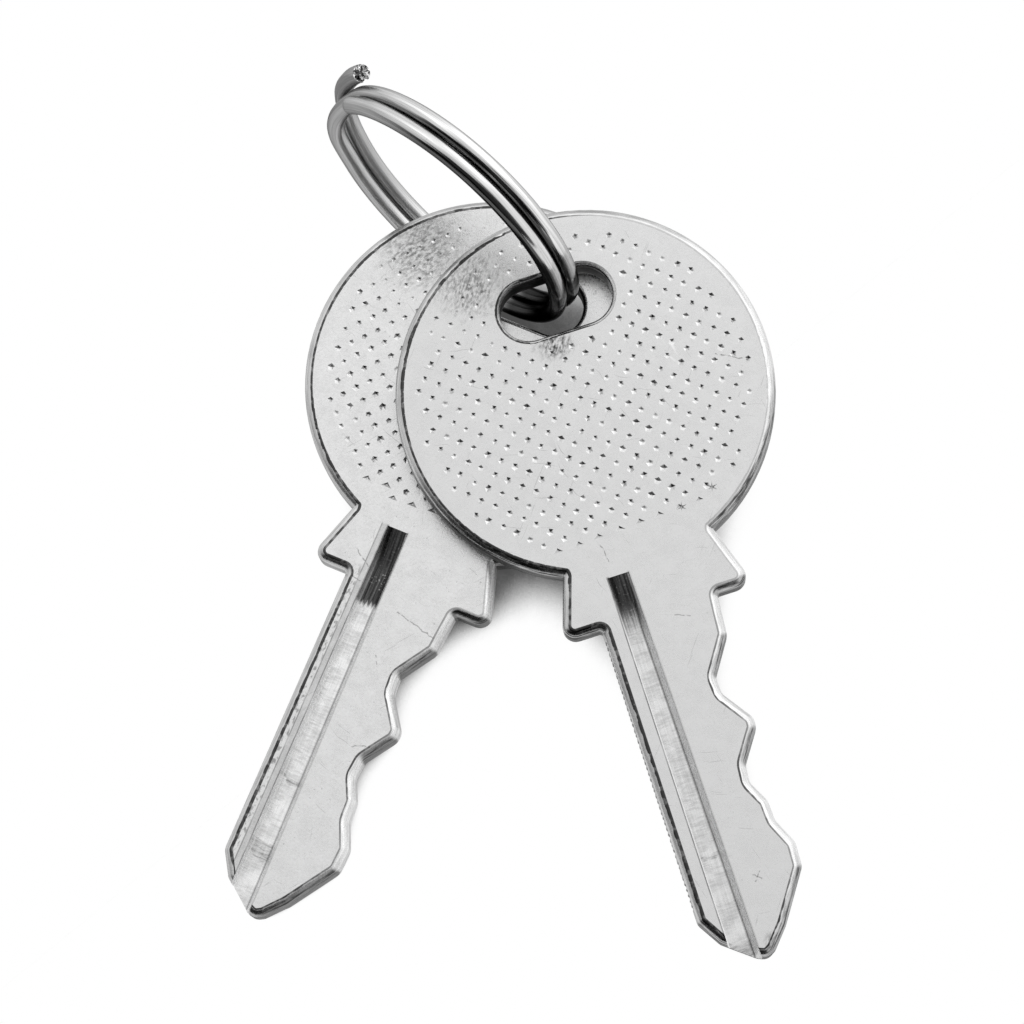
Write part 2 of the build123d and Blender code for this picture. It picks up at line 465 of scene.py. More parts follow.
@dataclass
class KeyPlate:
    """One key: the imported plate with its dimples, marks and milled edge added.

    Args:
        node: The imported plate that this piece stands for.
        body: The body that it rides on.
        axes: Where the key lies.
        lattice: Where the dimples are.
        chatter_depth: How deep the milling marks on the blade's spine are.
        stars: Where a punch slipped and left a star of three cuts.
        seed: Starts the small differences between the dimples.
        eye: The slot in the bow.
        dimple: The mark that the lattice repeats.
        run_out: The shallow three-cornered mark in its last row.
        star_cut: One of a star's cuts.
        spine: How far the blade's spine is from the middle line.
        spine_top: Where the milling marks start below the bow's centre.
        spine_foot: Where they end.
        chatter_range: The least and the most share of their depth.
        chatter_shift: How far they are off their even pitch, as a share of it.
    """

    node: str
    body: str
    axes: Axes
    lattice: DimpleField
    chatter_depth: float
    stars: tuple[tuple[float, float], ...]
    seed: int
    eye: Eye = Eye()
    dimple: Stamp = Stamp(0.19, ((0.11, 0.042), (0.03, 0.08)), corners=5)
    run_out: Stamp = Stamp(0.1, ((0.02, 0.07),), corners=3, stretch=1.9)
    star_cut: Stamp = Stamp(0.045, ((0.01, 0.05),), corners=4, stretch=6.0)
    thickness: float = 2.2
    spine: float = 3.7
    spine_top: float = 15.9
    spine_foot: float = 33.6
    star_turns: tuple[float, ...] = (12.0, 75.0, 138.0)
    chatter_pitch: float = 0.36
    chatter_radius: float = 0.26
    chatter_range: tuple[float, float] = (0.5, 1.2)
    chatter_shift: float = 0.15
    weld: float = 1e-6
    flat_angle: float = 0.05
    sharp_angle: float = 24.0
    facing_note: str = "facing"

    def build(self) -> bpy.types.Object:
        """Makes the whole key.

        Returns:
            The finished piece, in the frame.
        """
        plate = self.merged_copy()
        for cutter in self.cutters():
            apply_modifier(plate, "BOOLEAN", object=cutter, operation="DIFFERENCE", solver="MANIFOLD")
            bpy.data.objects.remove(cutter)
        crisp_normals(plate, self.sharp_angle)
        self.mark_facing(plate)
        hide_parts(self.node)
        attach(plate, self.body)
        return plate

    def merged_copy(self) -> bpy.types.Object:
        """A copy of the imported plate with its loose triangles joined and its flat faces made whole."""
        plate = bpy.data.objects.new(self.node + "_plate", bpy.data.objects[self.node].data.copy())
        bpy.context.scene.collection.objects.link(plate)
        select_only(plate)
        bpy.ops.object.mode_set(mode="EDIT")
        bpy.ops.mesh.select_all(action="SELECT")
        bpy.ops.mesh.remove_doubles(threshold=self.weld)
        bpy.ops.mesh.dissolve_limited(angle_limit=math.radians(self.flat_angle))
        bpy.ops.object.mode_set(mode="OBJECT")
        bpy.ops.mesh.customdata_custom_splitnormals_clear()
        return plate

    def cutters(self) -> Iterator[bpy.types.Object]:
        """All that is taken out of the plate, as objects of closed solids that don't cross each other."""
        draws = random.Random(self.seed)
        shape = bmesh.new()
        self.add_dimples(shape, draws)
        self.add_chatter(shape, draws)
        yield self.laid(shape)
        star_cut = self.star_cut.build("star_cut")
        for turn in self.star_turns if self.stars else ():
            shape = bmesh.new()
            for place in self.stars:
                self.put(shape, star_cut, Side.FRONT, place, turn, (1, 1, 1))
            yield self.laid(shape)
        bpy.data.objects.remove(star_cut)

    def add_dimples(self, shape: bmesh.types.BMesh, draws: random.Random) -> None:
        """Adds the lattice's dimples on both faces, and the run-out marks of its last row."""
        lattice = self.lattice
        dimple = self.dimple.build("dimple")
        run_out = self.run_out.build("run_out_mark")
        for side in Side:
            for x, y in lattice.dimples(self.eye):
                kept = 1 - lattice.worn.wear(x, y)
                size = draws.uniform(1 - lattice.size_spread, 1 + lattice.size_spread)
                size *= lattice.worn_size + (1 - lattice.worn_size) * kept
                depth = draws.uniform(1 - lattice.depth_spread, 1 + lattice.depth_spread) * kept
                turn = lattice.turn + draws.uniform(-lattice.turn_spread, lattice.turn_spread)
                x += draws.gauss(0, lattice.place_spread)
                y += draws.gauss(0, lattice.place_spread)
                if y < lattice.last_row:
                    self.put(shape, run_out, side, (x, y), 0.0, (size, size, depth))
                else:
                    length = size * draws.uniform(*lattice.length_range)
                    self.put(shape, dimple, side, (x, y), turn, (size, length, depth))
        for used in (dimple, run_out):
            bpy.data.objects.remove(used)

    def add_chatter(self, shape: bmesh.types.BMesh, draws: random.Random) -> None:
        """Adds the row of milling marks down the blade's spine."""
        notch = self.notch()
        for index in range(int((self.spine_foot - self.spine_top) / self.chatter_pitch)):
            out = self.spine + self.chatter_radius - self.chatter_depth * draws.uniform(*self.chatter_range)
            shifted = index + draws.uniform(-self.chatter_shift, self.chatter_shift)
            down = self.spine_top + self.chatter_pitch * shifted
            self.put(shape, notch, None, (-out, -down), 0.0, (1, 1, 1))
        bpy.data.objects.remove(notch)

    def laid(self, shape: bmesh.types.BMesh) -> bpy.types.Object:
        """Makes an object of a cutter's shape and lays it where the key lies."""
        shape.transform(self.axes.matrix)
        mesh = bpy.data.meshes.new(self.node + "_cutter")
        shape.to_mesh(mesh)
        shape.free()
        cutter = bpy.data.objects.new(mesh.name, mesh)
        bpy.context.scene.collection.objects.link(cutter)
        return cutter

    def mark_facing(self, plate: bpy.types.Object) -> None:
        """Notes which way each face corner looks in the key's own axes, so that the finish can paint light
        and shade by it.
        """
        note = plate.data.attributes.new(self.facing_note, "FLOAT_VECTOR", "CORNER")
        for entry, corner in zip(note.data, plate.data.corner_normals):
            looks = corner.vector
            entry.vector = (looks.dot(self.axes.across), looks.dot(self.axes.along), looks.dot(self.axes.out))

    def notch(self) -> bpy.types.Object:
        """One milling mark across the spine: an upright post that bites into the edge."""
        bpy.ops.mesh.primitive_cylinder_add(
            vertices=10, radius=self.chatter_radius, depth=self.thickness * 1.3, end_fill_type="NGON"
        )
        post = bpy.context.object
        post.name = "notch"
        return post

    def put(
        self,
        shape: bmesh.types.BMesh,
        mark: bpy.types.Object,
        side: Side | None,
        place: tuple[float, float],
        turn: float,
        size: tuple[float, float, float],
    ) -> None:
        """Adds a copy of a mark to the cutter, in the key's own millimetres.

        Args:
            shape: The cutter so far.
            mark: The mark, modelled once.
            side: The face that it is pressed into, or None for one that goes right through.
            place: Where it goes, as seen from the front.
            turn: How far it is turned.
            size: How much it is stretched.
        """
        height = 0.0 if side is None else side.value * self.thickness / 2
        over = Matrix.Rotation(math.pi, 4, "Y") if side is Side.BACK else Matrix.Identity(4)
        laid = (
            Matrix.Translation((*place, height))
            @ over
            @ Matrix.Rotation(math.radians(turn), 4, "Z")
            @ Matrix.Diagonal((*size, 1))
        )
        first = len(shape.verts)
        shape.from_mesh(mark.data)
        shape.verts.ensure_lookup_table()
        bmesh.ops.transform(shape, matrix=laid, verts=shape.verts[first:])


@dataclass
class RingCoil:
    """The wire of the split ring, wound twice round with its turns nearly touching.

    Angles run along the wire from the place where its ends meet. The first turn steps over to the
    second one's side, and the last stretch springs out over that step to a sheared end.

    Args:
        node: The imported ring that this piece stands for.
        body: The body that it rides on.
        axes: Where the ring lies.
        wire: The wire's thickness.
        pitch: How far apart the turns are.
        radius: The ring's radius at the middle of the wire.
        blunt_end: The angle of the first end.
        step_start: Where the step over to the other side starts.
        step_end: Where it ends.
        step_lift: How far the wire bulges outwards where it steps over.
        hump_after: How far past the step's start it bulges most.
        hump_reach: Over what angle the bulge fades each way.
        blunt_lift: How far the first end stands out.
        blunt_reach: Over what angle that fades.
        rise_start: Where the last stretch starts to spring out.
        rise_end: Where it has done so.
        rise: How far it springs outwards.
        rise_aside: How far it springs sideways.
        cut_end: The angle of the last end.
        cut_rise: How much further out the end would be at cut_rise_end.
        cut_aside: How much further sideways.
        cut_rise_end: The angle at which that would be reached.
        turn_step: The angle between the wire's points.
        roundness: How finely the wire is rounded.
        blunt_round: How far the first end is rounded over, as a share of the wire.
        shear_inset: How wide the sheared end's border is, as a share of the wire.
        tear_range: How far the torn face goes in and out, as a share of the wire.
        sharp_angle: Edges sharper than this stay sharp.
    """

    node: str
    body: str
    axes: Axes
    wire: float = 1.17
    pitch: float = 1.2
    radius: float = 9.257
    blunt_end: float = 31.0
    step_start: float = 346.0
    step_end: float = 394.0
    step_lift: float = 0.4
    blunt_lift: float = 0.22
    blunt_reach: float = 45.0
    rise_start: float = 685.0
    rise_end: float = 735.0
    rise: float = 1.05
    rise_aside: float = 0.4
    cut_end: float = 756.5
    cut_rise: float = 0.4
    cut_aside: float = 0.08
    cut_rise_end: float = 764.5
    hump_after: float = 10.0
    hump_reach: float = 26.0
    turn_step: float = 2.5
    roundness: int = 6
    blunt_round: float = 0.16
    shear_inset: float = 0.06
    tear_range: tuple[float, float] = (-0.3, 0.1)
    sharp_angle: float = 40.0
    wire_note: str = "wire"
    seed: int = 5

    def place(self, angle: float) -> Vector:
        """The wire's middle at an angle, in the ring's own millimetres."""
        step = smoothstep((angle - self.step_start) / (self.step_end - self.step_start))
        first = 1 - smoothstep((angle - self.blunt_end) / self.blunt_reach)
        rise = smoothstep((angle - self.rise_start) / (self.rise_end - self.rise_start))
        last = smoothstep((angle - self.rise_end) / (self.cut_rise_end - self.rise_end))
        over = smoothstep(1 - abs(angle - self.step_start - self.hump_after) / self.hump_reach)
        reach = self.radius + self.blunt_lift * first + self.step_lift * over
        reach += self.rise * rise + self.cut_rise * last
        side = self.pitch * (0.5 - step) - self.rise_aside * rise - self.cut_aside * last
        turn = math.radians(angle)
        return Vector((-reach * math.cos(turn), reach * math.sin(turn), side))

    def places(self) -> list[Vector]:
        """The wire's middle all along it, at even turns."""
        count = round((self.cut_end - self.blunt_end) / self.turn_step)
        step = (self.cut_end - self.blunt_end) / count
        return [self.place(self.blunt_end + step * index) for index in range(count + 1)]

    def length(self) -> float:
        """How long the wire is."""
        places = self.places()
        return sum((ahead - here).length for here, ahead in zip(places, places[1:]))

    def build(self) -> bpy.types.Object:
        """Winds the wire, shapes its ends and puts it in the frame.

        Returns:
            The finished piece.
        """
        places = self.places()
        ring = self.wound(places)
        self.mark_wire(ring, places)
        self.shape_blunt_end(ring, places)
        self.shape_sheared_end(ring, places)
        ring.data.transform(self.axes.matrix)
        crisp_normals(ring, self.sharp_angle)
        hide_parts(self.node)
        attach(ring, self.body)
        return ring

    def wound(self, places: list[Vector]) -> bpy.types.Object:
        """The bare wire along its path, open at both ends."""
        path = bpy.data.curves.new(self.node + "_path", "CURVE")
        path.dimensions = "3D"
        path.bevel_depth = self.wire / 2
        path.bevel_resolution = self.roundness
        line = path.splines.new("POLY")
        line.points.add(len(places) - 1)
        for point, place in zip(line.points, places):
            point.co = (*place, 1)
        ring = bpy.data.objects.new(self.node + "_coil", path)
        bpy.context.scene.collection.objects.link(ring)
        select_only(ring)
        bpy.ops.object.convert(target="MESH")
        return bpy.context.object

    def mark_wire(self, ring: bpy.types.Object, places: list[Vector]) -> None:
        """Notes on each point where it lies on the wire, so that a pattern can follow the wire.

        The note holds a place on a straight wire of the same size: round it in X and Y, along it in Z.
        """
        sides = len(ring.data.vertices) // len(places)
        note = ring.data.attributes.new(self.wire_note, "FLOAT_VECTOR", "POINT")
        along = 0.0
        for index, place in enumerate(places):
            if index:
                along += (place - places[index - 1]).length
            ahead = places[min(index + 1, len(places) - 1)] - places[max(index - 1, 0)]
            outward = Vector((place.x, place.y, 0)).normalized()
            sideways = ahead.normalized().cross(outward)
            for point in range(index * sides, (index + 1) * sides):
                spoke = ring.data.vertices[point].co - place
                note.data[point].vector = (spoke.dot(outward), spoke.dot(sideways), along)

    def shape_blunt_end(self, ring: bpy.types.Object, places: list[Vector]) -> None:
        """Closes the wire's first end and rounds it over."""
        self.close_end(ring, places[0])
        bpy.ops.mesh.bevel(offset=self.wire * self.blunt_round, segments=3, affect="EDGES")
        bpy.ops.object.mode_set(mode="OBJECT")

    def shape_sheared_end(self, ring: bpy.types.Object, places: list[Vector]) -> None:
        """Closes the wire's last end with the torn face that a cutter leaves."""
        self.close_end(ring, places[-1])
        bpy.ops.mesh.inset(thickness=self.wire * self.shear_inset, depth=0)
        bpy.ops.mesh.poke()
        bpy.ops.mesh.subdivide(number_cuts=2)
        shape = bmesh.from_edit_mesh(ring.data)
        draws = random.Random(self.seed)
        heading = (places[-1] - places[-2]).normalized()
        torn = {vert for face in shape.faces if face.select for vert in face.verts}
        for vert in sorted(torn, key=lambda vert: vert.index):
            rim = (vert.co - places[-1]).length / (self.wire / 2)
            vert.co += heading * draws.uniform(*self.tear_range) * self.wire * (1.2 - rim)
        bmesh.update_edit_mesh(ring.data)
        bpy.ops.object.mode_set(mode="OBJECT")

    def close_end(self, ring: bpy.types.Object, end: Vector) -> None:
        """Fills the open loop at an end and leaves the new face selected in edit mode."""
        select_only(ring)
        bpy.ops.object.mode_set(mode="EDIT")
        bpy.ops.mesh.select_mode(type="EDGE")
        bpy.ops.mesh.select_all(action="DESELECT")
        shape = bmesh.from_edit_mesh(ring.data)
        for edge in shape.edges:
            middle = (edge.verts[0].co + edge.verts[1].co) / 2
            edge.select = edge.is_boundary and (middle - end).length < self.wire
        bmesh.update_edit_mesh(ring.data)
        bpy.ops.mesh.edge_face_add()
        bpy.ops.mesh.select_mode(type="FACE")


class Shop:
    """The effects that the finishes share, each built once."""

    def __init__(self) -> None:
        """Builds every effect."""
        self.grain = self.build_grain()
        self.lines = self.build_lines()
        self.scratch = self.build_scratch()
        self.blotch = self.build_blotch()

    @staticmethod
    def build_grain() -> Effect:
        """Plated metal's mottling, pinholes and hairline scratches, on millimetres.

        Returns:
            The effect; each output runs from 0 to 1.
        """
        outputs = ("Mottle", "Pinholes", "Hairlines")
        made = Effect("plate_grain", {"Vector": (0.0, 0.0, 0.0), "Size": 1.0}, outputs)
        graph = made.graph
        place = graph.scaled(made.inputs["Vector"], made.inputs["Size"])
        broad = graph.noise(place, 1.1, detail=3.0)
        fine = graph.noise(place, 6.5, detail=4.0, roughness=0.65)
        mottle = graph.math("ADD", graph.product(broad, 0.4), graph.product(fine, 0.6))
        graph.feed(made.outputs["Mottle"], graph.fade(mottle, 0.3, 0.7))
        holes = graph.noise(place, 4.2, detail=5.0, roughness=0.7)
        graph.feed(made.outputs["Pinholes"], graph.fade(holes, 0.62, 0.72))
        warped = graph.vector("ADD", place, graph.noise(place, 0.35))
        total: Input = 0.0
        for angle, seed in ((20, 3.0), (75, 17.0), (128, 31.0)):
            turned = graph.turned(warped, math.radians(angle))
            thin = graph.vector("MULTIPLY", turned, (0.35, 9.0, 1.0))
            moved = graph.vector("ADD", thin, (seed, seed, 0.0))
            total = graph.most(total, graph.fade(graph.noise(moved, 1.0, detail=1.0), 0.73, 0.78))
        graph.feed(made.outputs["Hairlines"], total)
        return made

    @staticmethod
    def build_lines() -> Effect:
        """The fine lines that a cutter, shear or die draws along metal.

        Returns:
            The effect; Stretch is how many lines there are a millimetre each way.
        """
        inputs = {"Vector": (0.0, 0.0, 0.0), "Stretch": (1.0, 1.0, 1.0), "Contrast": 1.0}
        made = Effect("drawn_lines", inputs, ("Lines",))
        graph = made.graph
        thin = graph.vector("MULTIPLY", made.inputs["Vector"], made.inputs["Stretch"])
        coarse = graph.noise(thin, 1.0, detail=3.0, roughness=0.7)
        centred = graph.math("SUBTRACT", coarse, 0.5)
        spread = graph.math("MULTIPLY_ADD", centred, made.inputs["Contrast"], 0.5, clamp=True)
        graph.feed(made.outputs["Lines"], spread)
        return made

    @staticmethod
    def build_scratch() -> Effect:
        """One wavering scratch between two places.

        Returns:
            The effect; Scratch is 1 on the line and 0 away from it.
        """
        inputs = {"Vector": (0.0, 0.0, 0.0), "From": (0.0, 0.0, 0.0), "Way": (1.0, 0.0, 0.0), "Width": 0.05}
        made = Effect("scratch", inputs, ("Scratch",))
        graph = made.graph
        noise = {"Vector": made.inputs["Vector"], "Scale": 2.5, "Detail": 3.0}
        shake = graph.vector("SUBTRACT", graph.node("TexNoise", noise).outputs["Color"], (0.5, 0.5, 0.5))
        shaken = graph.vector("MULTIPLY_ADD", shake, (0.35, 0.35, 0.0), made.inputs["Vector"])
        away = graph.vector("SUBTRACT", shaken, made.inputs["From"])
        way = made.inputs["Way"]
        along = graph.measure("DOT_PRODUCT", away, way)
        length = graph.measure("DOT_PRODUCT", way, way)
        share = graph.math("DIVIDE", along, length, clamp=True)
        gap = graph.measure("DISTANCE", away, graph.scaled(way, share))
        line = graph.math("SUBTRACT", 1.0, graph.math("DIVIDE", gap, made.inputs["Width"]), clamp=True)
        patchy = graph.fade(graph.noise(made.inputs["Vector"], 3.5), 0.38, 0.5)
        graph.feed(made.outputs["Scratch"], graph.product(line, patchy))
        return made

    @staticmethod
    def build_blotch() -> Effect:
        """A ragged patch of scuffed metal, dark with bright specks.

        Returns:
            The effect; Shade is what the metal's colour is multiplied by.
        """
        inputs = {"Vector": (0.0, 0.0, 0.0), "Middle": (0.0, 0.0, 0.0), "Radius": 1.0, "Strength": 0.5}
        made = Effect("blotch", inputs, ("Shade",))
        graph = made.graph
        place = made.inputs["Vector"]
        away = graph.measure("DISTANCE", place, made.inputs["Middle"])
        away = graph.math("DIVIDE", away, made.inputs["Radius"])
        ragged = graph.math("MULTIPLY_ADD", graph.noise(place, 1.6, detail=4.0), 1.2, away)
        spot = graph.fade(ragged, 0.75, 1.75, 1.0, 0.0)
        strokes = graph.vector("MULTIPLY", graph.turned(place, 0.6), (5.5, 2.6, 1.0))
        scuffs = graph.noise(strokes, 1.0, detail=4.0, roughness=0.6)
        dark = graph.product(made.inputs["Strength"], graph.fade(scuffs, 0.34, 0.64, 1.0, 0.0))
        graph.feed(made.outputs["Shade"], graph.rest(graph.product(spot, dark)))
        return made

    def streaks(
        self, graph: Graph, vector: Input, stretch: tuple[float, float, float], contrast: float
    ) -> bpy.types.NodeSocket:
        """The drawn lines, placed in a material."""
        inputs = {"Vector": vector, "Stretch": stretch, "Contrast": contrast}
        return self.lines.place(graph, inputs)["Lines"]


@dataclass(frozen=True)
class Groove:
    """How a key's front groove looks.

    Args:
        top: How far below the bow's centre it starts.
        dark_reflection_length: How far down the painted dark reflection at its top reaches.
        dark_reflection_fade: Over what length the painted dark reflection ends.
        left_shade_band: How wide the painted shade band beside its left edge is.
        bars: Where the cutter stopped and left a bar across: the place below the bow's centre,
            the length and the darkness.
        floor: The grey of the floor.
        left: Its left edge, from the key's middle line.
        right: Its right edge at the top.
        flare: How much further right that edge is at the foot.
        foot: How far below the bow's centre the flare ends.
        slope: How wide the sloping right wall is.
        line: How wide the painted shade lines beside its edges are.
    """

    top: float
    dark_reflection_length: float
    dark_reflection_fade: float
    left_shade_band: float
    bars: tuple[tuple[float, float, float], ...]
    floor: float = 0.78
    left: float = -2.35
    right: float = -0.95
    flare: float = 0.35
    foot: float = 38.5
    slope: float = 0.35
    line: float = 0.075

    def right_edge(self, graph: Graph, down: Input) -> bpy.types.NodeSocket:
        """Where the sloping right wall meets the face."""
        share = graph.math("DIVIDE", graph.math("SUBTRACT", down, self.top), self.foot - self.top, clamp=True)
        return graph.math("MULTIPLY_ADD", share, self.flare, self.right)

    def mask(self, graph: Graph, parts: bpy.types.NodeOutputs, right: Input) -> bpy.types.NodeSocket:
        """1 inside the groove."""
        return graph.product(
            graph.math("GREATER_THAN", parts[0], self.left - 0.02),
            graph.math("LESS_THAN", parts[0], graph.math("ADD", right, 0.02)),
            graph.math("LESS_THAN", parts[1], -self.top + 0.02),
            graph.band(parts[2], -0.015, 1.085, 0.005),
        )

    def rim(self, graph: Graph, parts: bpy.types.NodeOutputs, right: Input) -> bpy.types.NodeSocket:
        """What the face's colour is multiplied by beside the groove: painted shade lines along its edges, and
        a painted shade band on its left where there is one.
        """
        below = graph.fade(parts[1], -self.top - 0.05, -self.top + 0.15, 1.0, 0.0)
        # Painted shade lines along the groove's left and right edges.
        near = graph.band(parts[0], self.left - self.line, self.left + 0.1, 0.02)
        far = graph.band(graph.math("SUBTRACT", parts[0], right), -0.1, self.line, 0.03)
        dark = graph.most(graph.product(near, 0.65), graph.product(far, 0.25))
        if self.left_shade_band > 0:
            # The band here is a painted shade band, named worn, with a darker painted line at its outer edge.
            outer = self.left - self.left_shade_band
            worn = graph.band(parts[0], outer, self.left, 0.03)
            start = graph.band(parts[0], outer - 0.03, outer + 0.05, 0.02)
            dark = graph.most(graph.most(dark, graph.product(worn, 0.22)), graph.product(start, 0.55))
        streaked = graph.vector("MULTIPLY", self.joined(graph, parts), (3.0, 0.7, 1.0))
        patchy = graph.fade(graph.noise(streaked, 1.0), 0.3, 0.55, 0.55, 1.0)
        in_front = graph.math("GREATER_THAN", parts[2], 0.0)
        return graph.rest(graph.product(dark, below, patchy, in_front))

    def wall(self, graph: Graph, parts: bpy.types.NodeOutputs) -> bpy.types.NodeSocket:
        """1 on the sloping right wall, for a place inside the groove."""
        beyond = graph.fade(parts[0], self.left + 0.3, self.left + 0.4)
        return graph.product(graph.fade(parts[2], 0.03, 0.1), beyond)

    @staticmethod
    def joined(graph: Graph, parts: bpy.types.NodeOutputs) -> bpy.types.NodeSocket:
        """A place on the face, without its height."""
        return graph.node("CombineXYZ", {0: parts[0], 1: parts[1]}).outputs[0]

    def colour(
        self, graph: Graph, parts: bpy.types.NodeOutputs, right: Input, shop: Shop
    ) -> bpy.types.NodeSocket:
        """The groove's grey: bright and streaked, with a painted dark reflection at its top, a painted
        highlight beside its left wall and painted shade lines on its walls.
        """
        place = self.joined(graph, parts)
        lines = shop.streaks(graph, place, (8.0, 0.22, 1.0), 2.0)
        smears = shop.streaks(graph, place, (0.5, 0.8, 1.0), 2.6)
        ribs = shop.streaks(graph, place, (0.9, 7.0, 1.0), 2.2)
        value = graph.fade(lines, 0.0, 1.0, self.floor - 0.09, self.floor + 0.09)
        value = graph.product(value, graph.fade(smears, 0.0, 1.0, 0.88, 1.07))
        ribbed = graph.fade(smears, 0.45, 0.75, 0.16, 0.03)
        value = graph.darkened(value, ribbed, graph.fade(ribs, 0.2, 0.8, 1.0, -0.3))
        bent = self.bent(graph, parts, smears)
        for middle, length, darkness in self.bars:
            reached = graph.math("SUBTRACT", bent, middle + 0.25)
            bar = graph.band(reached, -length / 2, length / 2, 0.08)
            value = graph.darkened(value, bar, graph.fade(ribs, 0.2, 0.7, 1.0, 0.35), darkness)
        fine = shop.streaks(graph, place, (20.0, 0.3, 1.0), 2.0)
        value = graph.blend(self.wall(graph, parts), value, graph.fade(fine, 0.0, 1.0, 0.88, 1.0))
        beyond = graph.math("SUBTRACT", parts[0], right)
        # A painted shade line at the foot of the sloping right wall.
        value = graph.darkened(value, graph.band(beyond, -self.slope - 0.07, -self.slope + 0.05, 0.03), 0.45)
        # Painted shade, darker towards the face's height at the top of the groove's walls.
        value = graph.product(value, graph.fade(parts[2], 1.0, 1.06, 1.0, 0.6))
        # A painted highlight along the floor beside the left wall.
        shine = graph.band(parts[0], self.left, self.left + 0.11, 0.03)
        value = graph.blend(graph.product(shine, 0.9), value, 1.0)
        # A painted dark reflection at the groove's top, streaked, fading downwards.
        streaked = graph.math("SUBTRACT", lines, 0.5)
        streaked = graph.math("MULTIPLY_ADD", streaked, 1.2 * self.dark_reflection_fade + 0.3, parts[1])
        start = -self.top - self.dark_reflection_length
        dark = graph.fade(streaked, start - self.dark_reflection_fade, start + 0.35 * self.dark_reflection_fade)
        specks = graph.fade(graph.noise(place, 7.0, detail=2.0), 0.6, 0.72, 0.0, 0.4)
        specks = graph.product(specks, graph.fade(smears, 0.4, 0.6))
        black = graph.math("ADD", graph.fade(lines, 0.2, 1.0, 0.03, 0.2), specks)
        # The painted dark reflection is kept off the painted highlight and the lit wall.
        lit_wall = graph.fade(beyond, -0.17, -0.1)
        bare = graph.most(graph.product(shine, 0.5), graph.product(lit_wall, 0.9))
        return graph.blend(graph.darkened(dark, bare), value, black)

    def bent(
        self, graph: Graph, parts: bpy.types.NodeOutputs, smears: Input
    ) -> bpy.types.NodeSocket:
        """How far down the key a place is, on lines that bow and waver across the groove."""
        bow = graph.math("POWER", graph.math("SUBTRACT", parts[0], -1.6), 2.0)
        waver = graph.math("MULTIPLY_ADD", smears, 0.5, graph.product(bow, 0.5))
        return graph.math("SUBTRACT", waver, parts[1])


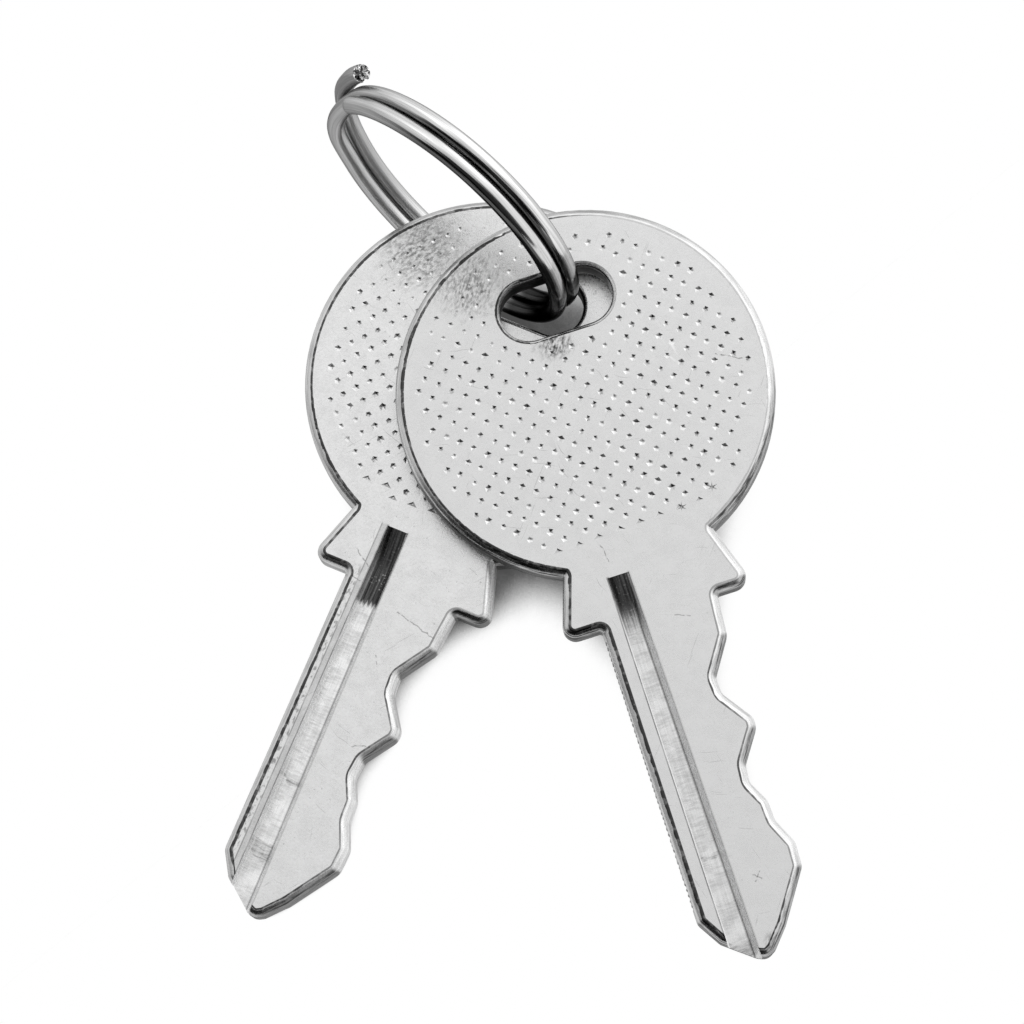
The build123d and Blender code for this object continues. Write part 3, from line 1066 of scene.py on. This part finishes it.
@dataclass(frozen=True)
class PlateFinish:
    """Satin nickel plate over a stamped and milled key, with painted light and shade on its edges, creases,
    dimples and groove.

    Args:
        groove: How the front groove looks.
        mottle: How uneven the face's grey is.
        pitting: How dark the pits in the face are.
        crease_shade_spine_side: How dark the painted shade line is where the flat face rolls over into the
            edge, on the spine's side.
        crease_shade_cut_side: The same on the side of the cuts.
        smudges: Scuffed patches on the front face.
        scratches: The two ends of each scratch, in the key's own millimetres.
        colour: The face's grey.
        cut_side_painted_light: The painted light grey of the rolled edge where it looks to the side of the
            cuts.
        spine_side_painted_light: The painted grey where it looks to the spine's side.
        tip_side_painted_shade: The painted shade grey where it looks to the tip.
        worn_band: How dark the scuffed band between the groove and the spine is.
        spine_share_of_tip_shade: How much of the painted tip-side shade the spine's side of the key has.
        crease: How much wider the painted crease shade is round the bow and blade on the spine's side.
        roughness: The plate's roughness.
        bow_reach: How far from the bow's centre its edge begins.
        pit_painted_shade: How dark the painted shade in the dimples is.
        pit_shaded_side: The side of a dimple that gets the painted shade.
        scratch_width: Half the width of a scratch.
    """

    groove: Groove
    mottle: float
    pitting: float
    crease_shade_spine_side: float
    crease_shade_cut_side: float
    smudges: tuple[Spot, ...]
    scratches: tuple[tuple[tuple[float, float], tuple[float, float]], ...]
    colour: float = 0.74
    cut_side_painted_light: float = 0.78
    spine_side_painted_light: float = 0.62
    tip_side_painted_shade: float = 0.26
    worn_band: float = 0.0
    spine_share_of_tip_shade: float = 1.0
    crease: float = 0.03
    roughness: float = 0.28
    bow_reach: float = 11.1
    pit_painted_shade: float = 0.72
    pit_shaded_side: tuple[float, float, float] = (-0.6, -0.8, 0.0)
    scratch_width: float = 0.055

    def build(self, name: str, plate: KeyPlate, shop: Shop) -> bpy.types.Material:
        """Makes the material for one key.

        Args:
            name: The material's name.
            plate: The key that it is for.
            shop: The shared effects.

        Returns:
            The material.
        """
        material = bpy.data.materials.new(name)
        material.use_nodes = True
        graph = Graph(material.node_tree)
        shader = material.node_tree.nodes["Principled BSDF"]
        shader.inputs["Specular Tint"].default_value = (0.65, 0.65, 0.65, 1.0)
        place = self.key_place(graph, plate.axes)
        parts = graph.node("SeparateXYZ", {0: place}).outputs
        height = graph.math("ABSOLUTE", parts[2])
        right = self.groove.right_edge(graph, graph.product(parts[1], -1.0))
        groove = self.groove.mask(graph, parts, right)
        grain = shop.grain.place(graph, {"Vector": place, "Size": 1.0})
        looks = graph.node("Attribute", attribute_name=plate.facing_note).outputs["Vector"]
        looks_across, looks_along, _ = graph.node("SeparateXYZ", {0: looks}).outputs
        edge = shop.streaks(graph, place, (0.5, 0.5, 12.0), 2.4)
        # Painted light and shade: surfaces that look to the tip are painted dark, and the other rolled edges
        # and walls get a painted grey by the way they look.
        to_tip = graph.fade(looks_along, -0.38, -0.08, 1.0, 0.0)
        to_tip = graph.product(to_tip, graph.fade(parts[0], -2.0, 1.0, self.spine_share_of_tip_shade, 1.0))
        side = self.painted_side_light(graph, edge, looks_across, looks_along, to_tip)
        dimpled = self.dimpled(graph, parts, plate.eye)
        rolled = graph.darkened(graph.fade(height, 1.06, 1.09, 1.0, 0.0), dimpled)
        face = self.face_colour(graph, parts, grain, shop)
        face = graph.product(face, self.groove.rim(graph, parts, right))
        # Painted shade in the dimples, darker on the side that looks one way.
        pit_shaded_face = graph.product(face, self.pit_shade(graph, parts, height, looks))
        face = graph.blend(rolled, graph.blend(dimpled, face, pit_shaded_face), side)
        # A painted shade line where the flat face rolls over into the edge.
        crease = graph.darkened(self.painted_crease_line(graph, parts, place, height), dimpled)
        face = graph.darkened(face, crease)
        wall = graph.darkened(graph.fade(height, 0.5, 0.72, 1.0, 0.0), groove)
        # worn is the drawn lines along the edge together with a further painted shade where the edge looks to
        # the tip.
        worn = graph.product(graph.fade(edge, 0.1, 0.9, 0.6, 1.05), graph.fade(to_tip, 0.0, 1.0, 1.0, 0.42))
        value = graph.blend(wall, face, graph.product(side, worn))
        value = graph.blend(groove, value, self.groove.colour(graph, parts, right, shop))
        graph.feed(shader.inputs["Base Color"], graph.grey(value))
        dull_wall = graph.product(groove, self.groove.wall(graph, parts), 0.65)
        to_cuts = graph.product(graph.most(rolled, wall), graph.fade(looks_across, 0.2, 0.6, 0.0, 0.75))
        graph.feed(shader.inputs["Metallic"], graph.rest(graph.most(dull_wall, to_cuts)))
        rough = graph.math("MULTIPLY_ADD", grain["Mottle"], 0.1, self.roughness - 0.05)
        graph.feed(shader.inputs["Roughness"], graph.blend(wall, rough, 0.4))
        relief = graph.product(grain["Hairlines"], -0.5)
        relief = graph.math("MULTIPLY_ADD", grain["Mottle"], 6.0 * self.mottle, relief)
        relief = graph.math("SUBTRACT", relief, graph.product(grain["Pinholes"], 2.0 * self.pitting))
        drawn = graph.product(edge, graph.most(wall, graph.product(rolled, 0.5)))
        relief = graph.math("ADD", relief, drawn)
        bump = graph.node("Bump", {"Height": relief, "Strength": 0.4, "Distance": 0.00001})
        graph.feed(shader.inputs["Normal"], bump.outputs[0])
        return material

    def painted_side_light(
        self, graph: Graph, edge: Input, looks_across: Input, looks_along: Input, to_tip: Input
    ) -> bpy.types.NodeSocket:
        """The painted light and shade of the rolled edges and side walls, by the way that they look.

        Args:
            graph: The material's nodes.
            edge: The lines drawn along the edge.
            looks_across: How far the surface looks to the side of the cuts.
            looks_along: How far it looks to the ring.
            to_tip: 1 where it counts as looking to the tip.

        Returns:
            The grey.
        """
        light = graph.fade(looks_across, -0.5, 0.5, self.spine_side_painted_light, self.cut_side_painted_light)
        light = graph.product(light, graph.fade(edge, 0.2, 0.7, 0.84, 1.1))
        to_ring = graph.fade(looks_along, 0.2, 0.6)
        light = graph.blend(to_ring, light, graph.fade(edge, 0.2, 0.8, 0.4, 0.62))
        dark = graph.fade(edge, 0.25, 0.75, self.tip_side_painted_shade * 0.25, self.tip_side_painted_shade * 2.0)
        return graph.blend(to_tip, light, dark)

    @staticmethod
    def key_place(graph: Graph, axes: Axes) -> bpy.types.NodeSocket:
        """The key's own millimetres at the shaded point."""
        turn = Matrix((axes.across, axes.along, axes.out)).transposed().to_euler()
        inputs = {
            "Vector": graph.node("TexCoord").outputs["Object"],
            "Location": tuple(axes.origin),
            "Rotation": tuple(turn),
            "Scale": (MM, MM, MM),
        }
        return graph.node("Mapping", inputs, vector_type="TEXTURE").outputs[0]

    def painted_crease_line(
        self, graph: Graph, parts: bpy.types.NodeOutputs, place: Input, height: Input
    ) -> bpy.types.NodeSocket:
        """The painted shade of the crease, dark and broken, where the flat face rolls over into the edge."""
        ends = graph.most(graph.fade(parts[1], 1.0, 6.0), graph.fade(parts[1], -8.0, -4.0, 1.0, 0.0))
        wide = graph.product(ends, graph.fade(parts[0], -2.0, 3.0, self.crease, 0.0))
        wide = graph.math("ADD", wide, 0.006)
        swell = graph.product(wide, graph.fade(graph.noise(place, 1.1, detail=3.0), 0.35, 0.65))
        on_blade = graph.fade(parts[1], -34.0, -18.0, 0.035, 0.018)
        spine = graph.product(on_blade, graph.fade(parts[0], -3.0, -2.6, 1.0, 0.0))
        low = graph.math("SUBTRACT", graph.math("SUBTRACT", 1.087, swell), spine)
        over = graph.fade(graph.math("SUBTRACT", height, low), -0.004, 0.004)
        line = graph.product(over, graph.fade(height, 1.0972, 1.0992, 1.0, 0.0))
        broken = graph.fade(graph.noise(place, 2.2, detail=4.0), 0.36, 0.5, 0.8, 1.0)
        strength = graph.fade(parts[0], 1.0, 5.0, self.crease_shade_spine_side, self.crease_shade_cut_side)
        return graph.product(line, broken, strength)

    def dimpled(
        self, graph: Graph, parts: bpy.types.NodeOutputs, eye: Eye
    ) -> bpy.types.NodeSocket:
        """1 on the part of the bow that holds dimples, away from its edge and the eye's."""
        from_middle = graph.measure("LENGTH", Groove.joined(graph, parts))
        straight = (eye.length - eye.width) / 2
        beyond = graph.most(graph.math("SUBTRACT", graph.math("ABSOLUTE", parts[0]), straight), 0.0)
        above = graph.math("SUBTRACT", parts[1], eye.height)
        from_eye = graph.measure("LENGTH", graph.node("CombineXYZ", {0: beyond, 1: above}).outputs[0])
        clear = graph.math("GREATER_THAN", from_eye, eye.width / 2 + 0.3)
        return graph.product(graph.math("LESS_THAN", from_middle, self.bow_reach), clear)

    def pit_shade(
        self, graph: Graph, parts: bpy.types.NodeOutputs, height: Input, looks: Input
    ) -> bpy.types.NodeSocket:
        """What the colour is multiplied by in a dimple: a painted shade, darker on one side, with a soft
        edge.
        """
        deep = graph.fade(height, 1.05, 1.097, self.pit_painted_shade, 0.0)
        lean = graph.measure("DOT_PRODUCT", looks, self.pit_shaded_side)
        one_side = graph.fade(lean, -0.1, 0.3, 0.12, 1.0)
        uneven = graph.noise(Groove.joined(graph, parts), 1.7, detail=3.0)
        uneven = graph.fade(uneven, 0.35, 0.65, 0.6, 1.0)
        return graph.rest(graph.product(deep, uneven, one_side))

    def face_colour(
        self, graph: Graph, parts: bpy.types.NodeOutputs, grain: bpy.types.NodeOutputs, shop: Shop
    ) -> bpy.types.NodeSocket:
        """The flat faces' grey, with their mottling, pits, hairlines, smudges and scratches."""
        darkest = self.colour * (1 - self.mottle / 2)
        value = graph.math("MULTIPLY_ADD", grain["Mottle"], self.mottle * self.colour, darkest)
        value = graph.product(value, graph.fade(grain["Pinholes"], 0.0, 1.0, 1.0, 1 - self.pitting))
        plain = graph.product(value, graph.fade(grain["Hairlines"], 0.0, 1.0, 1.0, 0.8))
        flat = Groove.joined(graph, parts)
        scuffed = graph.noise(graph.vector("MULTIPLY", flat, (4.0, 2.2, 1.0)), 1.0, detail=4.0)
        beside = graph.band(parts[0], self.groove.left - 1.2, self.groove.left - 0.45, 0.1)
        low = graph.fade(parts[1], -15.0, -14.0, self.worn_band, 0.0)
        value = graph.darkened(plain, graph.fade(scuffed, 0.5, 0.62), beside, low)
        for smudge in self.smudges:
            inputs = {"Vector": flat, "Middle": (*smudge.place, 0.0), "Radius": smudge.radius}
            inputs["Strength"] = smudge.strength
            value = graph.product(value, shop.blotch.place(graph, inputs)["Shade"])
        for start, end in self.scratches:
            way = (end[0] - start[0], end[1] - start[1], 0.0)
            inputs = {"Vector": flat, "From": (*start, 0.0), "Way": way, "Width": self.scratch_width}
            value = graph.darkened(value, shop.scratch.place(graph, inputs)["Scratch"], 0.6)
        return graph.blend(graph.math("GREATER_THAN", parts[2], 0.0), plain, value)


@dataclass(frozen=True)
class WireFinish:
    """Bright drawn nickel wire with the die's streaks along it, duller where its ends meet, with painted
    shade on its lower side and inside the keys' eyes and a painted dark reflection along one side.

    Args:
        colour: The grey of the side that is up.
        shaded_side_colour: The grey of the side that is down, a painted shade.
        dull_colour: The grey where the wire's ends meet.
        eye_shade_colour: The painted shade grey of the stretch inside the keys' eyes.
        eye_shade_middle: The angle at the middle of that stretch.
        roughness: The wire's roughness.
        dull_roughness: The same where its ends meet.
        dark_reflection_side: The side of the wire that has the painted dark reflection line.
    """

    colour: float = 0.84
    shaded_side_colour: float = 0.8
    dull_colour: float = 0.62
    eye_shade_colour: float = 0.06
    eye_shade_middle: float = 212.0
    roughness: float = 0.14
    dull_roughness: float = 0.34
    dark_reflection_side: tuple[float, float, float] = (0.17, 0.98, 0.0)

    def build(self, name: str, coil: RingCoil, shop: Shop) -> bpy.types.Material:
        """Makes the material.

        Args:
            name: The material's name.
            coil: The ring that it is for.
            shop: The shared effects.

        Returns:
            The material.
        """
        material = bpy.data.materials.new(name)
        material.use_nodes = True
        graph = Graph(material.node_tree)
        shader = material.node_tree.nodes["Principled BSDF"]
        shader.inputs["Metallic"].default_value = 1.0
        shader.inputs["Specular Tint"].default_value = (0.3, 0.3, 0.3, 1.0)
        place = graph.node("Attribute", attribute_name=coil.wire_note).outputs["Vector"]
        parts = graph.node("SeparateXYZ", {0: place}).outputs
        angle = graph.math("MULTIPLY_ADD", parts[2], 1 / coil.radius, math.radians(coil.blunt_end))
        dull = graph.fade(graph.math("COSINE", angle), 0.1, 0.85)
        fine = shop.streaks(graph, place, (9.0, 9.0, 0.12), 2.2)
        broad = shop.streaks(graph, place, (2.6, 2.6, 0.09), 2.6)
        grain = shop.grain.place(graph, {"Vector": place, "Size": 1.6})
        # Painted shade: the side that is down is painted darker.
        value = graph.fade(graph.math("SINE", angle), -0.2, 0.5, self.shaded_side_colour, self.colour)
        value = graph.blend(dull, value, self.dull_colour)
        # Painted shade on the stretch inside the keys' eyes.
        from_keys = graph.math("COSINE", graph.math("SUBTRACT", angle, math.radians(self.eye_shade_middle)))
        value = graph.blend(graph.fade(from_keys, 0.85, 0.96), value, self.eye_shade_colour)
        value = graph.product(value, graph.fade(fine, 0.0, 1.0, 0.82, 1.08))
        value = graph.product(value, graph.fade(broad, 0.1, 0.9, 0.78, 1.08))
        value = graph.product(value, graph.fade(grain["Pinholes"], 0.0, 1.0, 1.0, 0.6))
        # A painted dark reflection along one side of the wire, stronger near the keys.
        round_wire = graph.measure("DOT_PRODUCT", place, self.dark_reflection_side)
        waver = graph.product(graph.math("SUBTRACT", broad, 0.5), 0.7)
        round_wire = graph.math("MULTIPLY_ADD", round_wire, 2 / coil.wire, waver)
        near_keys = graph.fade(graph.math("SINE", angle), -0.3, 0.4, 0.5, 0.88)
        value = graph.darkened(value, graph.fade(round_wire, 0.55, 0.78), graph.blend(dull, near_keys, 0.3))
        torn = graph.math("GREATER_THAN", parts[2], coil.length() - 0.03)
        value = graph.blend(torn, value, graph.fade(graph.noise(place, 3.5), 0.42, 0.56, 0.1, 0.9))
        graph.feed(shader.inputs["Base Color"], graph.grey(value))
        rough = graph.math("MULTIPLY_ADD", broad, 0.1, graph.blend(dull, self.roughness, self.dull_roughness))
        graph.feed(shader.inputs["Roughness"], graph.math("SUBTRACT", rough, 0.05))
        relief = graph.math("MULTIPLY_ADD", broad, 2.0, fine)
        bump = graph.node("Bump", {"Height": relief, "Strength": 0.5, "Distance": 0.00001})
        graph.feed(shader.inputs["Normal"], bump.outputs[0])
        return material


@dataclass(frozen=True)
class Patch:
    """A soft-edged patch of the room, seen from the object.

    Args:
        toward: The way to its middle.
        inner: How far from its middle it is at full strength, in degrees.
        outer: How far from its middle it ends.
        strength: How much light it adds, or which share of the light it takes away.
    """

    toward: tuple[float, float, float]
    inner: float
    outer: float
    strength: float

    def level(self, graph: Graph, way: bpy.types.NodeSocket) -> bpy.types.NodeSocket:
        """The patch's strength in the way that a ray goes."""
        toward = tuple(Vector(self.toward).normalized())
        near = graph.measure("DOT_PRODUCT", way, toward)
        inner = math.cos(math.radians(self.inner))
        outer = math.cos(math.radians(self.outer))
        return graph.fade(near, outer, inner, 0.0, self.strength)


@dataclass(frozen=True)
class Studio:
    """A plain pale floor in a soft white room, with a dark screen low in front of the object.

    Args:
        base: The room's light, the same from all sides.
        lights: Brighter patches of it.
        screen: The dark screen.
        floor_white: How bright the floor is where it is seen or mirrored.
        floor_grey: The floor's own grey, which lights the object from below.
        shade_reach: How far from the object the floor's painted shade reaches, in metres.
        shade_open: How open the floor is where the shade is deepest and where it ends.
        shade_kept: How bright the deepest shade is.
        floor_size: The floor's width, in metres.
    """

    base: float = 0.38
    lights: tuple[Patch, ...] = (
        Patch((0.1, 0.3, 0.95), 24.0, 48.0, 0.46),
        Patch((1.0, 0.3, 0.1), 35.0, 70.0, 0.75),
        Patch((0.1, 1.0, 0.35), 30.0, 70.0, 0.45),
        Patch((-1.0, 0.3, 0.75), 20.0, 50.0, 0.45),
    )
    screen: Patch = Patch((-0.24, -0.97, 0.3), 44.0, 56.0, 0.93)
    floor_white: float = 1.0
    floor_grey: float = 0.7
    shade_reach: float = 0.02
    shade_open: tuple[float, float] = (0.2, 0.46)
    shade_kept: float = 0.07
    floor_size: float = 4.0

    def build(self) -> None:
        """Lays the floor and lights the room."""
        self.build_room()
        self.build_floor()

    def build_room(self) -> None:
        """Makes the world: soft light with a dark screen, and plain white behind the object."""
        world = bpy.data.worlds.new("studio")
        bpy.context.scene.world = world
        world.use_nodes = True
        graph = Graph(world.node_tree)
        way = graph.node("TexCoord").outputs["Generated"]
        total: Input = self.base
        for light in self.lights:
            total = graph.math("ADD", total, light.level(graph, way))
        total = graph.darkened(total, self.screen.level(graph, way))
        seen = graph.node("LightPath").outputs["Is Camera Ray"]
        background = world.node_tree.nodes["Background"]
        graph.feed(background.inputs["Color"], graph.grey(1.0))
        graph.feed(background.inputs["Strength"], graph.blend(seen, total, 1.0))

    def build_floor(self) -> None:
        """Lays a plain floor, white where it is seen or mirrored, with a painted shade under the object."""
        bpy.ops.mesh.primitive_plane_add(size=self.floor_size, location=(0, 0, 0))
        floor = bpy.context.object
        floor.name = "floor"
        material = bpy.data.materials.new("floor_paper")
        material.use_nodes = True
        floor.data.materials.append(material)
        graph = Graph(material.node_tree)
        path = graph.node("LightPath").outputs
        seen = graph.most(path["Is Camera Ray"], path["Is Glossy Ray"])
        seen = graph.most(seen, path["Is Transmission Ray"])
        # Painted shadow: the floor's glow is dimmed by ambient occlusion near the object.
        open_sky = graph.node("AmbientOcclusion", {"Distance": self.shade_reach}, samples=32).outputs["AO"]
        shown = graph.fade(open_sky, *self.shade_open, self.shade_kept, self.floor_white)
        paper = graph.node("BsdfDiffuse", {"Color": graph.grey(self.floor_grey)})
        white = graph.node("Emission", {"Color": graph.grey(1.0), "Strength": shown})
        mixed = graph.node("MixShader", {0: seen, 1: paper.outputs[0], 2: white.outputs[0]})
        graph.feed(material.node_tree.nodes["Material Output"].inputs["Surface"], mixed.outputs[0])


def main() -> None:
    """Builds every piece in order and reports it."""
    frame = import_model()
    record = frame["record"]
    bpy.context.scene.view_settings.view_transform = "Standard"
    Viewpoint().build()
    Studio().build()
    shop = Shop()

    front_axes = Axes.of_key(record, "front_blade", "front_key_swing", FRONT_WIRE)
    back_axes = Axes.of_key(record, "back_blade", "back_key_swing", BACK_WIRE)
    front_wear = Spot((-4.9, 8.9), 4.0, 0.35)
    back_wear = Spot((-7.7, 6.2), 4.0, 0.35)
    front_field = DimpleField((0.24, 0.27), 47.5, 0.85, front_wear)
    back_field = DimpleField((0.12, -0.611), 48.2, 2.0, back_wear)
    stars = ((5.69, -8.47), (3.47, -9.1))
    front_plate = KeyPlate("key_front", "front_key", front_axes, front_field, 0.07, stars, seed=11)
    back_plate = KeyPlate("key_back", "back_key", back_axes, back_field, 0.035, (), seed=12)
    front_finish = PlateFinish(
        groove=Groove(12.0, 2.4, 1.8, 0.0, ((30.6, 0.22, 0.55), (36.6, 0.9, 0.4))),
        mottle=0.07,
        pitting=0.16,
        crease_shade_spine_side=0.92,
        crease_shade_cut_side=0.3,
        smudges=(Spot((-4.9, 8.9), 2.6, 0.68), Spot((-0.9, 3.6), 1.4, 0.9), Spot((0.35, -36.7), 0.7, 0.75)),
        scratches=(
            ((8.64, -0.34), (10.46, -1.29)),
            ((-2.09, -9.84), (-1.94, -11.03)),
            ((0.45, -32.4), (0.9, -32.8)),
            ((0.9, -32.35), (0.5, -32.85)),
            ((0.96, -15.5), (1.9, -15.9)),
        ),
    )
    back_finish = PlateFinish(
        groove=Groove(11.3, 5.0, 0.3, 0.42, ((28.6, 0.3, 0.6), (33.4, 0.9, 0.5)), floor=0.9),
        # The back key's grey is painted a little lighter than the front's: painted light for how its tilt
        # catches the light.
        colour=0.785,
        mottle=0.16,
        pitting=0.38,
        crease_shade_spine_side=0.92,
        crease_shade_cut_side=0.3,
        cut_side_painted_light=0.9,
        tip_side_painted_shade=0.17,
        spine_share_of_tip_shade=0.25,
        crease=0.01,
        worn_band=0.5,
        smudges=(Spot((-7.7, 6.2), 3.0, 0.68),),
        scratches=(
            ((0.47, -16.22), (3.48, -16.98)),
            ((-3.49, -15.1), (-2.43, -15.3)),
            ((-3.6, -13.4), (-2.5, -14.2)),
            ((0.2, -19.2), (0.6, -19.8)),
            ((1.2, -25.2), (2.2, -24.8)),
        ),
    )
    for plate, finish in ((front_plate, front_finish), (back_plate, back_finish)):
        piece = plate.build()
        piece.data.materials.clear()
        piece.data.materials.append(finish.build(plate.node + "_nickel", plate, shop))
        LOG.info("%s has %d faces", piece.name, len(piece.data.polygons))

    coil = RingCoil("split_ring", "ring", Axes.of_ring(record, "ring_loop", "front_key_swing"))
    ring = coil.build()
    ring.data.materials.clear()
    ring.data.materials.append(WireFinish().build("ring_nickel", coil, shop))
    LOG.info("%s has %d faces", ring.name, len(ring.data.polygons))


if __name__ == "__main__":
    logging.basicConfig(level=logging.INFO)
    main()
